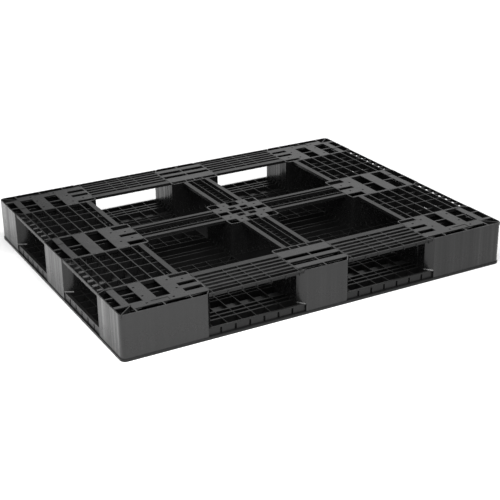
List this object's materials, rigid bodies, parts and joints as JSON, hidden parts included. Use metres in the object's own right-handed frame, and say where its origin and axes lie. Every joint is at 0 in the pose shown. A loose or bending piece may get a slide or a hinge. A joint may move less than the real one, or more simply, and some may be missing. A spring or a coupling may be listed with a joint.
{
  "type": "plastic pallet",
  "caption": "Four-way-entry plastic pallet lying on its load face: ribbed deck, hollow blocks and a ribbed base frame with windows.",
  "frame": {"origin": "centre of the load face, which rests on z = 0 because the pallet lies upside down", "axes": "+X along the 1400 mm long side, +Y along the 1100 mm short side, +Z out of the pallet's underside, so a user turns the part 180 degrees about X to set it down with its load face up"},
  "size_m": [1.4, 1.1, 0.15],
  "materials": {
    "smooth_black": "satin moulded polypropylene, black",
    "grained_black": "fine-grained moulded polypropylene, black"
  },
  "bodies": {
    "root": {"load_deck": "smooth_black", "block_centre": "smooth_black", "block_front": "smooth_black", "block_back": "smooth_black", "block_left": "smooth_black", "block_right": "smooth_black", "block_front_left": "smooth_black", "block_front_right": "smooth_black", "block_back_left": "smooth_black", "block_back_right": "smooth_black", "base_plate_centre": "grained_black", "base_plate_front": "grained_black", "base_plate_back": "grained_black", "base_plate_left": "grained_black", "base_plate_right": "grained_black", "base_plate_front_left": "grained_black", "base_plate_front_right": "grained_black", "base_plate_back_left": "grained_black", "base_plate_back_right": "grained_black", "cross_rail_front": "grained_black", "cross_rail_back": "grained_black", "cross_rail_left": "grained_black", "cross_rail_right": "grained_black", "long_rail_front_left": "grained_black", "long_rail_front_right": "grained_black", "long_rail_back_left": "grained_black", "long_rail_back_right": "grained_black", "short_rail_front_left": "grained_black", "short_rail_front_right": "grained_black", "short_rail_back_left": "grained_black", "short_rail_back_right": "grained_black"}
  },
  "joints": []
}
